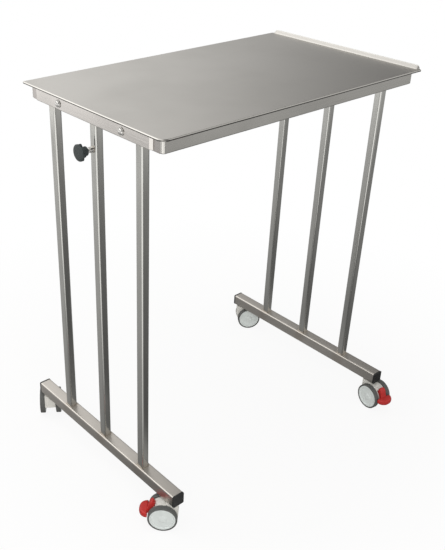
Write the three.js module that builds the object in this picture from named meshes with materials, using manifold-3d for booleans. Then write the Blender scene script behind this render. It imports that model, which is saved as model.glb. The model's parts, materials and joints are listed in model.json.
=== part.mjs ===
// Veterinary exam table: a stainless top on two welded leg frames that roll on twin-wheel castors.
// Millimetres, +Z up. X runs along the long side of the top, Y along the short side.
// The four corners are named front (-Y) or rear (+Y), and left (-X) or right (+X).
import * as THREE from 'three';
import { mergeVertices } from 'three/addons/utils/BufferGeometryUtils.js';
import Module from 'manifold-3d';

const wasm = await Module();
wasm.setup();

// Clearances
const seam = 0.25; // between pieces that are welded or pressed together
const holeClearance = 0.4; // round a screw, stem, stud or axle, on the radius
const runClearance = 0.8; // between a turning wheel or pedal and what it passes

// Table top
const topLength = 752;
const topWidth = 450;
const topHeight = 898; // floor to working surface
const sheet = 1.5; // steel sheet of the top and the aprons
const hemWidth = 9; // edges folded back under the sheet
const cornerRadius = 12; // corners of the top in plan
const sharpCornerRadius = 4; // the rear left and front right ones
const upstandHeight = 8.5; // lip on the right edge
const upstandCove = 4; // from the outer face to where the lip starts to rise
const upstandCornerGap = 12;

// Aprons under the top
const apronEndInset = 12; // from the top's short edge to the side apron's face
const apronFrontInset = 13; // from the top's long edge to the front apron's face
const apronDepth = 30.5;
const apronCorner = 5; // outer radius where the front and rear aprons turn the corner

// Side rails and their screws
const railLength = 374;
const railDepth = 6;
const railHeight = 25;
const railDrop = 4; // below the underside of the top
const railEdge = 1;
const screwSpacing = 204;
const screwRadius = 3;
const screwWasherRadius = 8.25;
const screwWasherThickness = 1.4;
const screwDomeRadius = 6.6;
const screwDomeHeight = 3.8;
const screwDomeShoulder = [0.75, 0.7]; // shares of the dome's radius and height
const screwReach = 6; // past the wall of the top bar

// Leg frames
const tubeWall = 1.5;
const postSize = 20;
const postCorner = 2.5;
const postSpacing = 142; // middle post to outer post
const topBarWidth = 20;
const topBarHeight = 25;
const topBarEndGap = 5; // to the inside of the front and rear aprons
const footBarSize = 30;
const footBarCorner = 3;
const footBarLength = 524;
const capFlange = 2.5;
const capInsert = 12;

// Stiffening channel under the middle of the top
const channelWidth = 50;
const channelDepth = 18;

// Clamp screw on the left middle post
const clampDrop = 84; // from the working surface down to the screw
const bossRadius = 6;
const bossLength = 8;
const studRadius = 4;
const studBare = 7; // bare thread between the boss and the knob
const studInKnob = 12;
const studInPost = 4; // past the wall of the post
const dogRadius = 2; // plain tip of the stud, turning in its pad
const dogLength = 2.6;
const padRadius = 5;
const padBase = 1.2; // solid end of the pad past the tip
const knobRadius = 17.25;
const knobLobes = 7;
const knobLobeDepth = 3.4;
const knobHubRadius = 9.5;
const knobHubLength = 10.5;
const knobHeadThickness = 10.5;
const knobBevel = 2;

// Castors
const wheelRadius = 33.5;
const wheelWidth = 12.5;
const tyreThickness = 3.6;
const wheelSides = 20;
const discRing = 3.4; // raised ring at the rim of the disc
const discDish = 1.3; // depth of the face inside the ring
const hubBossRadius = 10.5;
const hubSkin = 3.5; // closed face of the disc past the end of the axle
const trail = 20; // swivel axis to axle
const headRoom = 3; // top of the wheels to the foot bar
const stemInset = 16; // from the end of the foot bar
const stemRadius = 5;
const stemInBar = 20;
const stemInHood = 22;
const towerReach = 14; // from the swivel axis to each end of the hood's tower
const flangeRadius = 10;
const flangeThickness = 1.5;
const hoodWidth = 26.4;
const hoodInset = 3; // below the tread of the wheels
const hoodGroundGap = 24;
const axleRadius = 4;

// Brake pedals of the front castors
const tongueWidth = 19;
const tongueRise = 7; // past the tread of the wheels
const pedalHubRadius = 8;
const pedalTop = 50; // degrees above the axle where the tongue ends
const pedalBottom = -4;
const pedalSwing = 16; // degrees of travel
const slotSpareAbove = 4; // degrees of the hood's slot past the pedal at rest
const slotSpareBelow = 24; // and past the pedal when it is pressed
const padWidth = 45;
const padReach = 20; // past the wheels
const padCorner = 18;
const padThickness = 14;
const padDrop = 3; // from the axle down to the underside of the pad

// Rest directions of the castors' trails, in degrees from +X
const castors = [
  { name: 'front_left', side: -1, end: -1, yaw: 135, braked: true },
  { name: 'front_right', side: 1, end: -1, yaw: -98.5, braked: true },
  { name: 'rear_left', side: -1, end: 1, yaw: 54.5, braked: false },
  { name: 'rear_right', side: 1, end: 1, yaw: -36, braked: false },
];

// Places that follow from the sizes above
const plateBottom = topHeight - sheet;
const apronX = topLength / 2 - apronEndInset;
const apronY = topWidth / 2 - apronFrontInset;
const legX = apronX - sheet - seam - Math.max(topBarWidth, postSize) / 2;
const topBarTop = plateBottom - seam;
const topBarBottom = topBarTop - topBarHeight;
const footBarBottom = 2 * wheelRadius + headRoom;
const footBarTop = footBarBottom + footBarSize;
const railMiddle = plateBottom - railDrop - railHeight / 2;
const clampHeight = topHeight - clampDrop;

const steelColour = { color: 0xb3aca5, roughness: 0.34, metalness: 1 };
const plateColour = { color: 0xaaa7a2, roughness: 0.3, metalness: 1 };
const screwColour = { color: 0xc4c2be, roughness: 0.25, metalness: 1 };
const blackPlastic = { color: 0x161616, roughness: 0.5, metalness: 0 };
const knobPlastic = { color: 0x3b4142, roughness: 0.6, metalness: 0 };
const padPlastic = { color: 0xe6e2d6, roughness: 0.55, metalness: 0 };
const hoodPlastic = { color: 0xdedbd0, roughness: 0.45, metalness: 0 };
const discPlastic = { color: 0xc9d1d0, roughness: 0.4, metalness: 0 };
const tyreRubber = { color: 0x595c5d, roughness: 0.75, metalness: 0 };
const pedalPlastic = { color: 0xc0302c, roughness: 0.42, metalness: 0 };

const radians = THREE.MathUtils.degToRad;
const table = new THREE.Group();

function addPiece(name, geometry, look, parent = table) {
  const piece = new THREE.Mesh(geometry, new THREE.MeshStandardMaterial(look));
  piece.name = name;
  parent.add(piece);
  return piece;
}

// Closed mesh to a solid for cutting and joining, and back again
function toSolid(geometry) {
  const plain = geometry.clone();
  plain.deleteAttribute('normal');
  plain.deleteAttribute('uv');
  const welded = mergeVertices(plain, 1e-4);
  return new wasm.Manifold(new wasm.Mesh({
    numProp: 3,
    vertProperties: welded.attributes.position.array,
    triVerts: new Uint32Array(welded.index.array),
  }));
}

function toGeometry(solid) {
  const mesh = solid.getMesh();
  const geometry = new THREE.BufferGeometry();
  geometry.setAttribute('position', new THREE.BufferAttribute(mesh.vertProperties, 3));
  geometry.setIndex(new THREE.BufferAttribute(mesh.triVerts, 1));
  return geometry;
}

function join(first, ...others) {
  return toGeometry(others.reduce((sum, other) => sum.add(toSolid(other)), toSolid(first)));
}

function cut(first, ...tools) {
  return toGeometry(tools.reduce((rest, tool) => rest.subtract(toSolid(tool)), toSolid(first)));
}

function roundedRectangle(outline, width, height, radius) {
  const x = width / 2;
  const y = height / 2;
  outline.absarc(x - radius, y - radius, radius, 0, Math.PI / 2);
  outline.absarc(radius - x, y - radius, radius, Math.PI / 2, Math.PI);
  outline.absarc(radius - x, radius - y, radius, Math.PI, 1.5 * Math.PI);
  outline.absarc(x - radius, radius - y, radius, 1.5 * Math.PI, 2 * Math.PI);
  return outline;
}

function tubeSection(width, height, corner) {
  const section = roundedRectangle(new THREE.Shape(), width, height, corner);
  const boreWidth = width - 2 * tubeWall;
  const boreHeight = height - 2 * tubeWall;
  const boreCorner = Math.max(corner - tubeWall, corner / 4);
  section.holes.push(roundedRectangle(new THREE.Path(), boreWidth, boreHeight, boreCorner));
  return section;
}

// Straight piece of a section, from zero up along Z
function extrude(section, length, curveSegments = 3) {
  return new THREE.ExtrudeGeometry(section, { depth: length, bevelEnabled: false, curveSegments });
}

// The same piece laid along Y, centred, with the section's height upright
function extrudeAlongY(section, length, curveSegments = 3) {
  return extrude(section, length, curveSegments).translate(0, 0, -length / 2).rotateX(Math.PI / 2);
}

// Round bar along X, centred
function roundAlongX(radius, length, sides = 16) {
  return new THREE.CylinderGeometry(radius, radius, length, sides).rotateZ(Math.PI / 2);
}

function roundAlongZ(radius, low, high, sides = 16) {
  const bar = new THREE.CylinderGeometry(radius, radius, high - low, sides);
  return bar.rotateX(Math.PI / 2).translate(0, 0, (low + high) / 2);
}

// Turned piece along Z from [radius, height] points
function turn(points, sides = 16) {
  const profile = points.map(([radius, height]) => new THREE.Vector2(radius, height));
  return new THREE.LatheGeometry(profile, sides).rotateX(Math.PI / 2);
}

// Outline of the top in plan, moved in from its edges
function topOutline(outline, inset) {
  const x = topLength / 2 - inset;
  const y = topWidth / 2 - inset;
  const radius = Math.max(cornerRadius - inset, 1);
  const sharp = Math.max(sharpCornerRadius - inset, 1);
  outline.absarc(x - radius, y - radius, radius, 0, Math.PI / 2);
  outline.absarc(sharp - x, y - sharp, sharp, Math.PI / 2, Math.PI);
  outline.absarc(radius - x, radius - y, radius, Math.PI, 1.5 * Math.PI);
  outline.absarc(x - sharp, sharp - y, sharp, 1.5 * Math.PI, 2 * Math.PI);
  return outline;
}

// Lip along the right edge: it curves up from the sheet, and its two ends are rounded
function upstand() {
  const outer = topLength / 2;
  const inner = outer - sheet;
  const section = new THREE.Shape();
  section.moveTo(outer, plateBottom);
  section.lineTo(outer, topHeight + upstandHeight);
  section.lineTo(inner, topHeight + upstandHeight);
  section.quadraticCurveTo(inner, topHeight, outer - upstandCove, topHeight);
  section.lineTo(outer - upstandCove, plateBottom);
  const strip = extrudeAlongY(section, topWidth, 6);
  const end = topWidth / 2 - upstandCornerGap;
  const side = new THREE.Shape();
  side.moveTo(-end, -sheet);
  side.lineTo(end, -sheet);
  side.lineTo(end, 0);
  side.absarc(end - upstandHeight, 0, upstandHeight, 0, Math.PI / 2);
  side.absarc(upstandHeight - end, 0, upstandHeight, Math.PI / 2, Math.PI);
  const reach = extrudeAlongY(side, topLength, 6).rotateZ(Math.PI / 2).translate(0, 0, topHeight);
  return toSolid(strip).intersect(toSolid(reach));
}

// Flat sheet with its edges folded under, and the lip
function topPlate() {
  const flat = extrude(topOutline(new THREE.Shape(), 0), sheet, 5).translate(0, 0, plateBottom);
  const fold = topOutline(new THREE.Shape(), 0);
  fold.holes.push(topOutline(new THREE.Path(), hemWidth));
  const hem = extrude(fold, sheet, 5).translate(0, 0, plateBottom - sheet);
  return toGeometry(toSolid(flat).add(toSolid(hem)).add(upstand()));
}

// Apron along a long side: a strip whose two ends are rolled round the corners
function longApron() {
  const end = apronX - apronCorner;
  const inner = apronCorner - sheet;
  const strip = new THREE.Shape();
  strip.absarc(end, apronCorner, apronCorner, -Math.PI / 2, 0);
  strip.absarc(end, apronCorner, inner, 0, -Math.PI / 2, true);
  strip.absarc(-end, apronCorner, inner, -Math.PI / 2, -Math.PI, true);
  strip.absarc(-end, apronCorner, apronCorner, Math.PI, 1.5 * Math.PI);
  return extrude(strip, apronDepth, 4).translate(0, -apronY, plateBottom - seam - apronDepth);
}

// Through holes for the two rail screws, drilled along X
function screwHoles(x, length) {
  return [-1, 1].map((end) => roundAlongX(screwRadius + holeClearance, length, 12)
    .translate(x, end * screwSpacing / 2, railMiddle));
}

function sideApron(side) {
  const length = 2 * (apronY - apronCorner - seam);
  const x = side * (apronX - sheet / 2);
  const z = plateBottom - seam - apronDepth / 2;
  const strip = new THREE.BoxGeometry(sheet, length, apronDepth).translate(x, 0, z);
  return cut(strip, ...screwHoles(x, 2 * sheet));
}

function sideRail(side) {
  const section = roundedRectangle(new THREE.Shape(), railDepth, railHeight, railEdge);
  const x = side * (apronX + seam + railDepth / 2);
  const rail = extrudeAlongY(section, railLength, 2).translate(x, 0, railMiddle);
  return cut(rail, ...screwHoles(x, 2 * railDepth));
}

// Dome-headed screw along Z, with the underside of its washer at zero
function railScrew() {
  const shank = seam + railDepth + seam + sheet + seam + tubeWall + screwReach;
  return turn([
    [0, -shank],
    [screwRadius, -shank],
    [screwRadius, 0],
    [screwWasherRadius, 0],
    [screwWasherRadius, screwWasherThickness],
    [screwDomeRadius, screwWasherThickness],
    [screwDomeRadius * screwDomeShoulder[0], screwWasherThickness + screwDomeHeight * screwDomeShoulder[1]],
    [0, screwWasherThickness + screwDomeHeight],
  ], 14);
}

function topBar(side) {
  const section = tubeSection(topBarWidth, topBarHeight, postCorner);
  const length = 2 * (apronY - sheet - topBarEndGap);
  const x = side * legX;
  const bar = extrudeAlongY(section, length).translate(x, 0, topBarTop - topBarHeight / 2);
  return cut(bar, ...screwHoles(x + side * topBarWidth / 2, 4 * tubeWall));
}

function post(x, y) {
  const low = footBarTop + seam;
  const section = tubeSection(postSize, postSize, postCorner);
  return extrude(section, topBarBottom - seam - low).translate(x, y, low);
}

const stemY = footBarLength / 2 - stemInset;

function footBar(side) {
  const section = tubeSection(footBarSize, footBarSize, footBarCorner);
  const x = side * legX;
  const bar = extrudeAlongY(section, footBarLength).translate(x, 0, footBarBottom + footBarSize / 2);
  const drill = stemRadius + holeClearance;
  const low = footBarBottom - tubeWall;
  const high = footBarBottom + 2 * tubeWall;
  const holes = [-1, 1].map((end) => roundAlongZ(drill, low, high).translate(x, end * stemY, 0));
  return cut(bar, ...holes);
}

// End cap along +Y: a flange the size of the bar and a plug inside it
function endCap() {
  const flange = roundedRectangle(new THREE.Shape(), footBarSize, footBarSize, footBarCorner);
  const plugSize = footBarSize - 2 * (tubeWall + seam);
  const plug = roundedRectangle(new THREE.Shape(), plugSize, plugSize, footBarCorner / 2);
  const flangePiece = extrudeAlongY(flange, capFlange).translate(0, seam + capFlange / 2, 0);
  const plugPiece = extrudeAlongY(plug, capInsert).translate(0, seam + capFlange / 2 - capInsert / 2, 0);
  return join(flangePiece, plugPiece);
}

// Inverted channel between the two top bars, its web against the top
function stiffener() {
  const x = channelWidth / 2;
  const section = new THREE.Shape();
  section.moveTo(-x, 0);
  section.lineTo(-x, -channelDepth);
  section.lineTo(sheet - x, -channelDepth);
  section.lineTo(sheet - x, -sheet);
  section.lineTo(x - sheet, -sheet);
  section.lineTo(x - sheet, -channelDepth);
  section.lineTo(x, -channelDepth);
  section.lineTo(x, 0);
  const length = 2 * (legX - topBarWidth / 2 - seam);
  return extrudeAlongY(section, length).rotateZ(Math.PI / 2).translate(0, 0, plateBottom - seam);
}

addPiece('top_plate', topPlate(), plateColour);
addPiece('front_apron', longApron(), steelColour);
addPiece('rear_apron', longApron().rotateZ(Math.PI), steelColour);
addPiece('top_stiffener', stiffener(), steelColour);

for (const [name, side] of [['left', -1], ['right', 1]]) {
  addPiece(`${name}_apron`, sideApron(side), steelColour);
  addPiece(`${name}_side_rail`, sideRail(side), steelColour);
  addPiece(`${name}_top_bar`, topBar(side), steelColour);
  addPiece(`${name}_foot_bar`, footBar(side), steelColour);
  for (const [place, end] of [['front', -1], ['rear', 1]]) {
    const screw = addPiece(`${place}_${name}_rail_screw`, railScrew(), screwColour);
    screw.position.set(side * (apronX + railDepth + 2 * seam), end * screwSpacing / 2, railMiddle);
    screw.rotation.y = side * Math.PI / 2;
    const cap = addPiece(`${place}_${name}_end_cap`, endCap(), blackPlastic);
    cap.position.set(side * legX, end * footBarLength / 2, footBarBottom + footBarSize / 2);
    cap.rotation.z = end > 0 ? 0 : Math.PI;
  }
}

// Posts, with a hole for the clamp stud in the left middle one
const clampHole = roundAlongX(studRadius + holeClearance, 4 * tubeWall);
clampHole.translate(-legX - postSize / 2, 0, clampHeight);
for (const [place, end] of [['front', -1], ['middle', 0], ['rear', 1]]) {
  const leftPost = post(-legX, end * postSpacing);
  addPiece(`left_${place}_post`, end === 0 ? cut(leftPost, clampHole) : leftPost, steelColour);
  addPiece(`right_${place}_post`, post(legX, end * postSpacing), steelColour);
}

// Clamp screw, built along Z from the face of the post and then turned to point along -X
const clamp = new THREE.Group();
clamp.position.set(-legX - postSize / 2, 0, clampHeight);
clamp.rotation.y = -Math.PI / 2;
table.add(clamp);

const bossFace = seam + bossLength;
const knobBack = bossFace + studBare;
const studTip = -tubeWall - studInPost;
const padFace = studTip - seam;

const bossBore = studRadius + holeClearance;
addPiece('clamp_boss', turn([
  [bossBore, seam],
  [bossRadius, seam],
  [bossRadius, bossFace],
  [bossBore, bossFace],
  [bossBore, seam],
]), steelColour, clamp);

addPiece('clamp_stud', turn([
  [0, studTip - dogLength],
  [dogRadius, studTip - dogLength],
  [dogRadius, studTip],
  [studRadius, studTip],
  [studRadius, knobBack + studInKnob],
  [0, knobBack + studInKnob],
]), screwColour, clamp);

const padSocket = studTip - dogLength - seam;
addPiece('clamp_pad', turn([
  [0, padSocket - padBase],
  [padRadius, padSocket - padBase],
  [padRadius, padFace],
  [dogRadius + seam, padFace],
  [dogRadius + seam, padSocket],
  [0, padSocket],
]), padPlastic, clamp);

// Star knob: a lobed head with a round hub behind it and a blind socket for the stud
function knob() {
  const outline = new THREE.Shape();
  const steps = knobLobes * 8;
  const mean = knobRadius - knobLobeDepth / 2 - knobBevel;
  for (let step = 0; step < steps; step += 1) {
    const angle = 2 * Math.PI * step / steps;
    const radius = mean + knobLobeDepth / 2 * Math.cos(knobLobes * angle);
    const x = radius * Math.cos(angle);
    const y = radius * Math.sin(angle);
    if (step === 0) outline.moveTo(x, y);
    else outline.lineTo(x, y);
  }
  const head = new THREE.ExtrudeGeometry(outline, {
    depth: knobHeadThickness - 2 * knobBevel,
    bevelThickness: knobBevel,
    bevelSize: knobBevel,
    bevelSegments: 1,
  }).translate(0, 0, knobBack + knobHubLength + knobBevel);
  const hubTop = knobBack + knobHubLength + knobHeadThickness / 2;
  const hub = roundAlongZ(knobHubRadius, knobBack, hubTop, 20);
  const socketTop = knobBack + studInKnob + seam;
  const socket = roundAlongZ(studRadius + seam, knobBack - knobHubLength, socketTop);
  return toGeometry(toSolid(head).add(toSolid(hub)).subtract(toSolid(socket)));
}

addPiece('clamp_knob', knob(), knobPlastic, clamp);

// Castor, built with its swivel axis on Z and its trail along +X, so the axle lies along Y
const axleZ = wheelRadius;
const towerTop = footBarBottom - seam - flangeThickness - seam;
const wheelInside = hoodWidth / 2 + runClearance;
const axleEnd = wheelInside + wheelWidth - hubSkin - seam;
const treadReach = wheelRadius / Math.cos(Math.PI / wheelSides);

// Slice of a disc round the axle, between two angles in degrees
function sliceRoundAxle(radius, from, to) {
  const slice = new THREE.Shape();
  const start = radians(from);
  slice.moveTo(trail, axleZ);
  slice.lineTo(trail + radius * Math.cos(start), axleZ + radius * Math.sin(start));
  slice.absarc(trail, axleZ, radius, start, radians(to));
  return slice;
}

function hood(braked) {
  const radius = wheelRadius - hoodInset;
  const towerAngle = Math.acos((towerReach - trail) / radius);
  const bottomAngle = Math.asin((hoodGroundGap - axleZ) / radius);
  const outline = new THREE.Shape();
  outline.moveTo(-towerReach, axleZ);
  outline.lineTo(-towerReach, towerTop);
  outline.lineTo(towerReach, towerTop);
  outline.absarc(trail, axleZ, radius, towerAngle, bottomAngle, true);
  outline.lineTo(0, hoodGroundGap);
  const slab = toSolid(extrudeAlongY(outline, hoodWidth, 14));
  const stemBore = roundAlongZ(stemRadius + holeClearance, towerTop - stemInHood - seam, towerTop + seam);
  const axleBore = new THREE.CylinderGeometry(axleRadius + seam, axleRadius + seam, 2 * hoodWidth, 14);
  axleBore.translate(trail, 0, axleZ);
  let body = slab.subtract(toSolid(stemBore)).subtract(toSolid(axleBore));
  if (braked) {
    const slotBottom = pedalBottom - pedalSwing - slotSpareBelow;
    const slot = sliceRoundAxle(2 * wheelRadius, slotBottom, pedalTop + slotSpareAbove);
    const slotWidth = tongueWidth + 2 * runClearance;
    body = body.subtract(toSolid(extrudeAlongY(slot, slotWidth, 8)));
    const hubRoom = pedalHubRadius + runClearance;
    const hubSlot = new THREE.CylinderGeometry(hubRoom, hubRoom, slotWidth, 20);
    body = body.subtract(toSolid(hubSlot.translate(trail, 0, axleZ)));
  }
  return toGeometry(body);
}

// Brake pedal: a hub on the axle, a curved tongue between the wheels and a wide foot pad
function pedal() {
  const tongueReach = treadReach + tongueRise;
  const tongue = sliceRoundAxle(tongueReach, pedalBottom, pedalTop);
  const hub = new THREE.CylinderGeometry(pedalHubRadius, pedalHubRadius, tongueWidth, 20);
  hub.translate(trail, 0, axleZ);
  const padInner = trail + treadReach + runClearance;
  const padOuter = trail + treadReach + padReach;
  const half = padWidth / 2;
  const corner = Math.min(padCorner, padOuter - padInner, half);
  const plan = new THREE.Shape();
  plan.moveTo(padInner, -half);
  plan.lineTo(padOuter - corner, -half);
  plan.absarc(padOuter - corner, corner - half, corner, -Math.PI / 2, 0);
  plan.absarc(padOuter - corner, half - corner, corner, 0, Math.PI / 2);
  plan.lineTo(padInner, half);
  const pad = extrude(plan, padThickness, 5).translate(0, 0, axleZ - padDrop);
  const bore = new THREE.CylinderGeometry(axleRadius + seam, axleRadius + seam, 2 * tongueWidth, 14);
  bore.translate(trail, 0, axleZ);
  const body = toSolid(extrudeAlongY(tongue, tongueWidth, 10)).add(toSolid(hub)).add(toSolid(pad));
  return toGeometry(body.subtract(toSolid(bore)));
}

// Fixed stem: shank in the hood, flange under the foot bar, thread inside the bar
function stem() {
  return turn([
    [0, towerTop - stemInHood],
    [stemRadius, towerTop - stemInHood],
    [stemRadius, towerTop + seam],
    [flangeRadius, towerTop + seam],
    [flangeRadius, footBarBottom - seam],
    [stemRadius, footBarBottom - seam],
    [stemRadius, footBarBottom + stemInBar],
    [0, footBarBottom + stemInBar],
  ], 14);
}

// Turned wheel pieces along Y, from the inner face outwards, with a flat side down
function turnWheel(points) {
  const profile = points.map(([radius, across]) => new THREE.Vector2(radius, across));
  return new THREE.LatheGeometry(profile, wheelSides, Math.PI / wheelSides);
}

function wheelDisc() {
  const edge = (wheelRadius - tyreThickness - seam) / Math.cos(Math.PI / wheelSides);
  const bore = axleRadius + seam;
  const face = wheelWidth - discDish;
  const boreEnd = wheelWidth - hubSkin;
  return turnWheel([
    [0, boreEnd],
    [bore, boreEnd],
    [bore, 0],
    [edge, 0],
    [edge, wheelWidth],
    [edge - discRing, wheelWidth],
    [edge - discRing - discDish, face],
    [hubBossRadius + discDish, face],
    [hubBossRadius, wheelWidth],
    [0, wheelWidth],
  ]);
}

function tyre() {
  const inside = (wheelRadius - tyreThickness) / Math.cos(Math.PI / wheelSides);
  const shoulder = tyreThickness / 3;
  return turnWheel([
    [inside, 0],
    [treadReach - shoulder, 0],
    [treadReach, shoulder],
    [treadReach, wheelWidth - shoulder],
    [treadReach - shoulder, wheelWidth],
    [inside, wheelWidth],
    [inside, 0],
  ]);
}

for (const { name, side, end, yaw, braked } of castors) {
  const castor = new THREE.Group();
  castor.position.set(side * legX, end * stemY, 0);
  castor.rotation.z = radians(yaw);
  table.add(castor);
  addPiece(`${name}_castor_stem`, stem(), screwColour, castor);
  addPiece(`${name}_castor_hood`, hood(braked), hoodPlastic, castor);
  const axle = addPiece(
    `${name}_castor_axle`,
    new THREE.CylinderGeometry(axleRadius, axleRadius, 2 * axleEnd, 14),
    screwColour,
    castor,
  );
  axle.position.set(trail, 0, axleZ);
  if (braked) addPiece(`${name}_brake_pedal`, pedal(), pedalPlastic, castor);
  for (const [letter, turned] of [['a', 0], ['b', Math.PI]]) {
    const wheel = new THREE.Group();
    wheel.position.set(trail, 0, axleZ);
    wheel.rotation.z = turned;
    castor.add(wheel);
    addPiece(`${name}_disc_${letter}`, wheelDisc(), discPlastic, wheel).position.y = wheelInside;
    addPiece(`${name}_tyre_${letter}`, tyre(), tyreRubber, wheel).position.y = wheelInside;
  }
}

// The origin is under the middle of the whole table, on the floor
const bounds = new THREE.Box3().setFromObject(table, true);
const middle = bounds.getCenter(new THREE.Vector3());
table.position.set(-middle.x, -middle.y, -bounds.min.z);

export default table;
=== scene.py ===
import json
import math
import bpy
import bmesh
from mathutils import Matrix, Vector

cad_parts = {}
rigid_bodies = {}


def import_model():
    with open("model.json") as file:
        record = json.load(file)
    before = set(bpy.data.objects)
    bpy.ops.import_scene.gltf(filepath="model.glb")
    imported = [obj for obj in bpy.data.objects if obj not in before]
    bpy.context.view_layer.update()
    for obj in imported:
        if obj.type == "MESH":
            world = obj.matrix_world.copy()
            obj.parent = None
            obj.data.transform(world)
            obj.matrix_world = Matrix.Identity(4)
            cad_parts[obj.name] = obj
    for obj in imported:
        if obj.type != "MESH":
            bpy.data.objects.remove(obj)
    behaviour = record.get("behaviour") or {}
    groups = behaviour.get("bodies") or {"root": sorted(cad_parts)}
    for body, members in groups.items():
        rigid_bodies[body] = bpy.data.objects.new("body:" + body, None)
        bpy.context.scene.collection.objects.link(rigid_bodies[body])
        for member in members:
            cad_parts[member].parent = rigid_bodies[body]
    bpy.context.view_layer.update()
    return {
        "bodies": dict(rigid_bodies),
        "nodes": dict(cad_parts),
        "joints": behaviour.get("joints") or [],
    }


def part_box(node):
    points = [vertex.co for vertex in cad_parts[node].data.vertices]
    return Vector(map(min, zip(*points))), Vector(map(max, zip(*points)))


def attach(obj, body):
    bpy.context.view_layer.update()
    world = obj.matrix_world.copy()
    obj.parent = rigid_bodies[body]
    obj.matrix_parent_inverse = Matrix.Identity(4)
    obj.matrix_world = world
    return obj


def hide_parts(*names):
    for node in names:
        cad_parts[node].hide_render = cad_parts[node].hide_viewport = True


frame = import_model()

# Veterinary exam table: satin steel top, two welded leg frames, twin-wheel castors.
# Metres, +Z up. Sizes in the dictionaries are in millimetres unless a note says otherwise.
mm = 0.001
castorNames = ["front_left", "front_right", "rear_left", "rear_right"]
joints = {joint["name"]: joint for joint in frame["joints"]}
leftBar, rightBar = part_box("left_foot_bar"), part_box("right_foot_bar")
frameCentre = (leftBar[0] + rightBar[1]) / 2  # middle of the two leg frames
print("frame loaded:", len(frame["nodes"]), "nodes")


# Camera at the photograph's viewing angle, placed from the middle of the leg frames (metres)
view = {"lens": 52.47, "shift": (0.0918, 0.0181), "place": (-1.2097, -1.2136, 1.3659),
        "right": (0.7604, -0.6492, 0.0177), "down": (-0.3136, -0.3909, -0.8654), "ahead": (0.5687, 0.6525, -0.5008)}
lens = bpy.data.cameras.new("photoCamera")
lens.lens = view["lens"]
lens.shift_x, lens.shift_y = view["shift"]
eye = bpy.data.objects.new("photoCamera", lens)
bpy.context.scene.collection.objects.link(eye)
turn = Matrix((view["right"], -Vector(view["down"]), -Vector(view["ahead"]))).transposed().to_4x4()
stand = Vector(view["place"]) + Vector((frameCentre.x, frameCentre.y, 0))
eye.matrix_world = Matrix.Translation(stand) @ turn
bpy.context.scene.camera = eye
bpy.context.scene.view_settings.view_transform = "Standard"


# Node and mesh helpers
def newNode(tree, kind, values=None, **settings):
    made = tree.nodes.new(kind)
    for key, value in settings.items():
        setattr(made, key, value)
    for socket, value in (values or {}).items():
        if isinstance(value, bpy.types.NodeSocket):
            tree.links.new(value, made.inputs[socket])
        else:
            made.inputs[socket].default_value = value
    return made


def maths(tree, operation, first, second=0.0):
    return newNode(tree, "ShaderNodeMath", {0: first, 1: second}, operation=operation).outputs[0]


def blendColours(tree, factor, first, second):
    return newNode(tree, "ShaderNodeMix", {0: factor, 6: first, 7: second}, data_type="RGBA").outputs[2]


def spread(tree, value, fromLow, fromHigh, toLow, toHigh):
    values = {0: value, 1: fromLow, 2: fromHigh, 3: toLow, 4: toHigh}
    return newNode(tree, "ShaderNodeMapRange", values).outputs[0]


def asObject(name, shape):
    bmesh.ops.remove_doubles(shape, verts=shape.verts, dist=1e-7)
    bmesh.ops.recalc_face_normals(shape, faces=shape.faces)
    mesh = bpy.data.meshes.new(name)
    shape.to_mesh(mesh)
    shape.free()
    piece = bpy.data.objects.new(name, mesh)
    bpy.context.scene.collection.objects.link(piece)
    return piece


def settle(piece):  # modifiers become plain mesh
    bpy.context.view_layer.update()
    graph = bpy.context.evaluated_depsgraph_get()
    mesh = bpy.data.meshes.new_from_object(piece.evaluated_get(graph), depsgraph=graph)
    piece.modifiers.clear()
    piece.data = mesh
    return piece


def shade(piece, sharpest=40):
    piece.data.shade_smooth()
    piece.data.set_sharp_from_angle(angle=math.radians(sharpest))
    flatten = piece.modifiers.new("flatFaces", "WEIGHTED_NORMAL")
    flatten.keep_sharp = True
    return settle(piece)


def softCorners(corners, steps=5, closed=False):
    path, count = [], len(corners)
    for i, (x, y, cutBack) in enumerate(corners):
        here = Vector((x, y))
        if cutBack == 0 or (not closed and i in (0, count - 1)):
            path.append(here)
            continue
        before = Vector(corners[i - 1][:2]) - here
        after = Vector(corners[(i + 1) % count][:2]) - here
        reach = min(cutBack, 0.48 * before.length, 0.48 * after.length)
        start, end = here + before.normalized() * reach, here + after.normalized() * reach
        for step in range(steps + 1):
            t = step / steps
            path.append(start.lerp(here, t).lerp(here.lerp(end, t), t))
    return path


def roundedSquare(width, height, corner, steps=7):
    x, y = width / 2, height / 2
    return softCorners([(x, -y, corner), (x, y, corner), (-x, y, corner), (-x, -y, corner)], steps, True)


def bowedSquare(width, height, corner, bow):  # the faces stand a little higher in the middle
    x, y = width / 2 - bow, height / 2 - bow
    outline = softCorners([(x, -y, corner), (x, 0, 0), (x, y, corner), (0, y, 0), (-x, y, corner), (-x, 0, 0),
                           (-x, -y, corner), (0, -y, 0)], 7, True)
    onFace, bowed = 0.98, []
    for i, here in enumerate(outline):
        after = outline[(i + 1) % len(outline)]
        count = 4 if (after - here).length > 0.2 * width else 1  # only the straights need more points
        for step in range(count):
            point = here.lerp(after, step / count)
            across, up = point
            if abs(across) > onFace * x:
                point.x += math.copysign(bow * max(0, 1 - (up / y) ** 2), across)
            if abs(up) > onFace * y:
                point.y += math.copysign(bow * max(0, 1 - (across / x) ** 2), up)
            bowed.append(point)
    return bowed


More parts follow.
